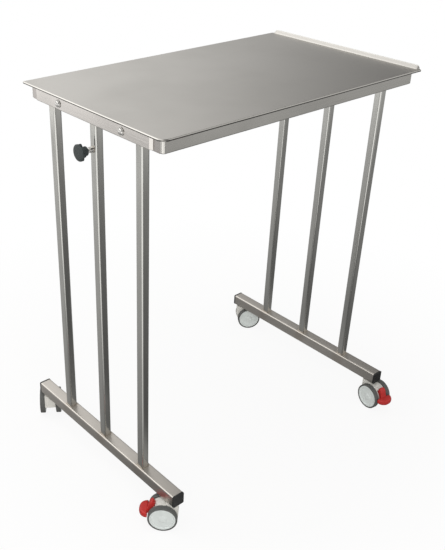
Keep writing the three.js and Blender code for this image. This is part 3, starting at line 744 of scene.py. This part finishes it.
pedalLook = {  # ahead of, across and above the axle
    "pad": (34.7, 54.0, 43.0),
    "padEdge": [(5.0, -3.0), (2.6, -2.5), (1.0, -1.0), (0.2, 1.2), (0.0, 3.5), (0.0, 6.0), (0.3, 8.4), (1.2, 10.8),
                (2.8, 12.2), (5.2, 12.8)],
    # the tongue's stations: degrees above the axle, half width, reach, root; its tip stands clear of the hood
    "tongue": [(57.8, 2.2, 38.0, 33.0), (57.4, 3.8, 40.0, 31.8), (56.4, 5.4, 41.6, 31.4), (54.6, 6.8, 42.2, 31.4),
               (51.8, 7.8, 42.2, 31.4), (50.0, 8.2, 42.0, 31.4), (49.4, 8.3, 41.9, 27.0), (46.0, 8.5, 41.5, 27.0),
               (42.0, 8.7, 40.9, 27.0), (37.0, 8.9, 39.8, 27.0), (31.0, 9.0, 38.6, 27.0), (25.0, 9.1, 38.0, 27.0),
               (19.0, 9.4, 38.2, 27.0), (15.0, 10.4, 39.4, 27.0), (12.0, 12.0, 41.2, 27.0), (9.0, 13.0, 42.0, 27.0)],
    "rib": (42.0, 50.0, 11.0, -6.0, 0.0),  # from, to, across, bottom, top
    "fullness": 0.9, "webHalf": 7.0, "webReach": 33.4, "hub": 8.0, "from": -4, "to": 49}


def footLever(castor):
    look, stand = pedalLook, castorPlace(castor)
    inner, outer, width = look["pad"]
    fan = [math.radians(-90 + 180 * i / 28) for i in range(29)]
    loops = []
    for inset, up in look["padEdge"]:
        start, deep, half = inner + 0.4 * inset, outer - inner - 1.4 * inset, width / 2 - inset
        reach = [start + deep * math.cos(a) ** look["fullness"] for a in fan]
        across = [half * math.copysign(abs(math.sin(a)) ** look["fullness"], a) for a in fan]
        loops.append([(x, y, up) for x, y in zip(reach, across)])
    pad = loft("pad", loops, stand)
    loops = []
    for degrees, side, reach, root in look["tongue"]:
        angle = math.radians(degrees)
        middle, tall = (root + reach) / 2, reach - root
        section = roundedSquare(2 * side, tall, min(2.6, 0.9 * side), 5)
        loops.append([((middle + p.y) * math.cos(angle), p.x, (middle + p.y) * math.sin(angle)) for p in section])
    tongue = loft("tongue", loops, stand)
    arc = [math.radians(look["from"] + (look["to"] - look["from"]) * i / 14) for i in range(15)]
    back = [math.radians(look["to"] + 90 + (180 - look["to"] + look["from"]) * i / 14) for i in range(15)]
    outline = [(look["webReach"] * math.cos(a), look["webReach"] * math.sin(a)) for a in arc]
    outline += [(look["hub"] * math.cos(a), look["hub"] * math.sin(a)) for a in back]
    web = loft("web", [[(x, y, z) for x, z in outline] for y in (-look["webHalf"], look["webHalf"])], stand)
    drill = turned("drill", [(wheelLook["bore"], -20), (wheelLook["bore"], 20)],
                   stand @ Matrix.Rotation(-math.pi / 2, 4, "X"), 32)
    bore = web.modifiers.new("bore", "BOOLEAN")
    bore.object, bore.solver = drill, "EXACT"
    settle(web)
    bpy.data.objects.remove(drill)
    start, end, broad, low, high = look["rib"]
    inset = ((1.6, low), (0.5, low + 0.5), (0, low + 1.6), (0, high))
    loops = []
    for less, z in inset:
        section = roundedSquare(end - start - 2 * less, broad - 2 * less, 3)
        loops.append([((start + end) / 2 + p.x, p.y, z) for p in section])
    rib = loft("rib", loops, stand)
    return shade(joined(camel(castor) + "BrakePedal", [pad, tongue, web, rib]), 45)


def stemProfile():
    look = stemLook
    radius, collar, low, high = look["radius"], look["collar"], look["collarFrom"], look["collarTo"]
    return softCorners([(0, look["foot"], 0), (radius, look["foot"], 0.6), (radius, low, 0), (collar, low, 0.3),
                        (collar, high, 0.3), (radius, high, 0), (radius, look["top"], 0.8), (0, look["top"], 0)], 4)


for castor in castorNames:
    for letter in "ab":
        stand, body = wheelPlace(castor, letter), f"{castor}_wheel_{letter}"
        disc = turned(camel(f"{castor}_disc_{letter}"), [tuple(p) for p in discProfile()], stand, 96)
        place(shade(disc, 50), discPlastic, body, "disc_plastic", f"{castor}_disc_{letter}")
        tyre = turned(camel(f"{castor}_tyre_{letter}"), [tuple(p) for p in tyreProfile()], stand, 96, ring=True)
        place(shade(tyre, 50), tyreRubber, body, "tyre_rubber", f"{castor}_tyre_{letter}")
    hood = shade(softenedCopy(f"{castor}_castor_hood", camel(f"{castor}_castor_hood"), wheelLook["hoodEdge"]))
    place(hood, hoodPlastic, f"{castor}_castor", "hood_plastic", f"{castor}_castor_hood")
    swivel = Vector(joints[castor + "_swivel"]["pos_m"])
    swivel.z = 0
    stem = turned(camel(f"{castor}_castor_stem"), [tuple(p) for p in stemProfile()], Matrix.Translation(swivel), 40)
    place(shade(stem), turnedSteel, "frame", "bright_steel", f"{castor}_castor_stem")
    if f"{castor}_pedal" in frame["bodies"]:
        place(footLever(castor), pedalPlastic, f"{castor}_pedal", "pedal_plastic", f"{castor}_brake_pedal")
    axle = frame["nodes"][f"{castor}_castor_axle"]
    axle.data.materials.clear()
    axle.data.materials.append(turnedSteel)
frame["nodes"]["clamp_pad"].data.materials.clear()
frame["nodes"]["clamp_pad"].data.materials.append(padNylon)
print("castors done")


# Studio: pale floor, white to the camera. What the steel mirrors is brightest at the left rear and dim at the right
# front; the floor is dim near the table and brighter further out. Ramps are of (place, tone), in metres on the floor.
studio = {
    "floorSize": 6.0, "floorDrop": 0.0005, "floorColour": (0.80, 0.79, 0.77, 1), "shadowShare": 0.10,
    "shadowReach": (0.45, 1.2), "ambient": 0.55, "warm": (1, 0.99, 0.975, 1), "diagonal": 0.7071, "brightest": 3.0,
    "sky": [(-1.0, 0.85), (-0.65, 0.70), (-0.42, 0.20), (-0.25, 0.16), (-0.1, 0.42), (0.0, 0.67), (0.1, 0.86),
            (0.25, 1.02), (0.6, 1.08), (1.0, 1.08)],
    "horizon": (0.02, 0.2, 0.6, 1.0),  # the sky is dimmer near it
    "steep": [(-0.3, 1.0), (-0.12, 0.85), (-0.02, 0.66), (0.05, 1.08), (0.3, 1.1)],  # share of the sky left higher up
    "steepFrom": (0.42, 0.5), "patchSide": (0.5, 0.78), "patchFrom": (0.38, 0.46), "patch": 0.9,
    "rearFloor": [(-3.7, 0.50), (-2.85, 0.48), (-2.5, 0.26), (-1.6, 0.26), (-1.1, 0.24), (-0.77, 0.17), (-0.5, 0.14),
                  (-0.3, 0.29), (-0.15, 0.33), (0.06, 0.27), (0.2, 0.33), (0.32, 0.36), (0.5, 0.41), (1.0, 0.46),
                  (1.6, 0.54), (2.2, 0.70), (2.45, 0.48), (2.65, 0.74), (3.2, 1.35)],
    "frontFloor": [(-3.7, 0.50), (-2.8, 0.62), (-2.35, 0.72), (-2.1, 0.42), (-1.9, 0.32), (-1.3, 0.24), (-0.8, 0.18),
                   (-0.16, 0.12), (0.1, 0.17), (0.2, 0.20), (0.32, 0.26), (0.5, 0.33), (1.0, 0.46), (1.6, 0.54),
                   (2.2, 0.70), (2.45, 0.48), (2.65, 0.74), (3.2, 1.35)],
    "floorBlend": (-0.1, 0.16), "beam": (0.25, 1.0), "beamTone": 1.15, "beamTaper": 1.05,  # a beam to the front left
    # lamps: place, aim, size, power
    "frontFill": ((-1.6, -2.2, 1.9), (0, 0, 0.3), (1.8, 1.6), 34),
    "rearGlow": ((-1.5, 1.95, 1.9), (0, 0, 0.5), (1.5, 0.9), 9),
    "overhead": ((-0.6, 0.5, 2.9), (0, 0, 0.5), (2.0, 1.6), 26)}


def slopeOf(tree, vector):  # towards the left rear, and towards the front left
    parts = newNode(tree, "ShaderNodeSeparateXYZ", {0: vector})
    x, y = parts.outputs[0], parts.outputs[1]
    rear = maths(tree, "MULTIPLY", maths(tree, "SUBTRACT", y, x), studio["diagonal"])
    front = maths(tree, "MULTIPLY", maths(tree, "ADD", y, x), -studio["diagonal"])
    return rear, front


def toneRamp(tree, value, stops):
    low, high, brightest = stops[0][0], stops[-1][0], studio["brightest"]
    ramp = newNode(tree, "ShaderNodeValToRGB", {0: spread(tree, value, low, high, 0, 1)})
    points = ramp.color_ramp.elements
    for at, tone in stops:
        spot = (at - low) / (high - low)
        point = points[0] if at == low else points[-1] if at == high else points.new(spot)
        point.color = (tone / brightest, tone / brightest, tone / brightest, 1)
    return maths(tree, "MULTIPLY", newNode(tree, "ShaderNodeRGBToBW", {0: ramp.outputs[0]}).outputs[0], brightest)


def blendTones(tree, factor, first, second):
    return newNode(tree, "ShaderNodeMix", {0: factor, 2: first, 3: second}).outputs[0]


def floorTone(tree, coords):
    rear, front = slopeOf(tree, coords)
    behind, before = toneRamp(tree, rear, studio["rearFloor"]), toneRamp(tree, rear, studio["frontFloor"])
    mixed = blendTones(tree, spread(tree, front, *studio["floorBlend"], 0, 1), behind, before)
    aside = maths(tree, "MULTIPLY", maths(tree, "ABSOLUTE", rear), studio["beamTaper"])
    beam = maths(tree, "SUBTRACT", front, aside)
    return maths(tree, "ADD", mixed, spread(tree, beam, *studio["beam"], 0, studio["beamTone"]))


def makeFloor():
    shape = bmesh.new()
    bmesh.ops.create_grid(shape, x_segments=1, y_segments=1, size=studio["floorSize"])
    floor = asObject("floor", shape)
    floor.location.z = -studio["floorDrop"]
    material = bpy.data.materials.new("paleFloor")
    material.use_nodes = True
    tree = material.node_tree
    tree.nodes.clear()
    coords = newNode(tree, "ShaderNodeTexCoord").outputs["Object"]
    ray = newNode(tree, "ShaderNodeLightPath").outputs
    lit = newNode(tree, "ShaderNodeBsdfDiffuse", {"Color": studio["floorColour"]}).outputs[0]
    white = newNode(tree, "ShaderNodeEmission", {"Color": (1, 1, 1, 1), "Strength": 1.0}).outputs[0]
    tone = floorTone(tree, coords)
    toned = newNode(tree, "ShaderNodeEmission", {"Color": studio["warm"], "Strength": tone}).outputs[0]
    far = newNode(tree, "ShaderNodeVectorMath", {0: coords}, operation="LENGTH").outputs["Value"]
    share = spread(tree, far, *studio["shadowReach"], 1 - studio["shadowShare"], 1.0)
    seen = newNode(tree, "ShaderNodeMixShader", {0: share, 1: lit, 2: white}).outputs[0]
    other = newNode(tree, "ShaderNodeMixShader", {0: ray["Is Glossy Ray"], 1: lit, 2: toned}).outputs[0]
    whole = newNode(tree, "ShaderNodeMixShader", {0: ray["Is Camera Ray"], 1: other, 2: seen}).outputs[0]
    newNode(tree, "ShaderNodeOutputMaterial", {"Surface": whole})
    floor.data.materials.append(material)


def makeWorld():
    world = bpy.data.worlds.new("studio")
    bpy.context.scene.world = world
    world.use_nodes = True
    tree = world.node_tree
    tree.nodes.clear()
    coords = newNode(tree, "ShaderNodeTexCoord").outputs["Generated"]
    ray = newNode(tree, "ShaderNodeLightPath").outputs
    tall = newNode(tree, "ShaderNodeSeparateXYZ", {0: coords}).outputs[2]
    rear = slopeOf(tree, coords)[0]
    glow = toneRamp(tree, rear, studio["sky"])
    glow = maths(tree, "MULTIPLY", glow, spread(tree, tall, *studio["horizon"]))
    steep = toneRamp(tree, rear, studio["steep"])
    steep = blendTones(tree, spread(tree, tall, *studio["steepFrom"], 0, 1), 1.0, steep)
    glow = maths(tree, "MULTIPLY", glow, steep)
    patch = spread(tree, tall, *studio["patchFrom"], 0, studio["patch"])  # a brighter patch high at the left rear
    patch = maths(tree, "MULTIPLY", spread(tree, rear, *studio["patchSide"], 0, 1), patch)
    glow = maths(tree, "ADD", glow, patch)
    toned = newNode(tree, "ShaderNodeBackground", {"Color": studio["warm"], "Strength": glow}).outputs[0]
    soft = newNode(tree, "ShaderNodeBackground", {"Color": (1, 1, 1, 1), "Strength": studio["ambient"]}).outputs[0]
    white = newNode(tree, "ShaderNodeBackground", {"Color": (1, 1, 1, 1), "Strength": 1.0}).outputs[0]
    other = newNode(tree, "ShaderNodeMixShader", {0: ray["Is Glossy Ray"], 1: soft, 2: toned}).outputs[0]
    whole = newNode(tree, "ShaderNodeMixShader", {0: ray["Is Camera Ray"], 1: other, 2: white}).outputs[0]
    newNode(tree, "ShaderNodeOutputWorld", {"Surface": whole})


def softBox(name):  # lights the object, but the steel doesn't mirror it
    spot, aim, size, power = studio[name]
    lamp = bpy.data.lights.new(name, "AREA")
    lamp.shape, lamp.size, lamp.size_y, lamp.energy = "RECTANGLE", *size, power
    lampObject = bpy.data.objects.new(name, lamp)
    bpy.context.scene.collection.objects.link(lampObject)
    lampObject.location = spot
    lampObject.rotation_euler = (Vector(aim) - Vector(spot)).to_track_quat("-Z", "Y").to_euler()
    lampObject.visible_camera = False
    lampObject.visible_glossy = False


makeFloor()
makeWorld()
for name in ("frontFill", "rearGlow", "overhead"):
    softBox(name)
print("studio done")
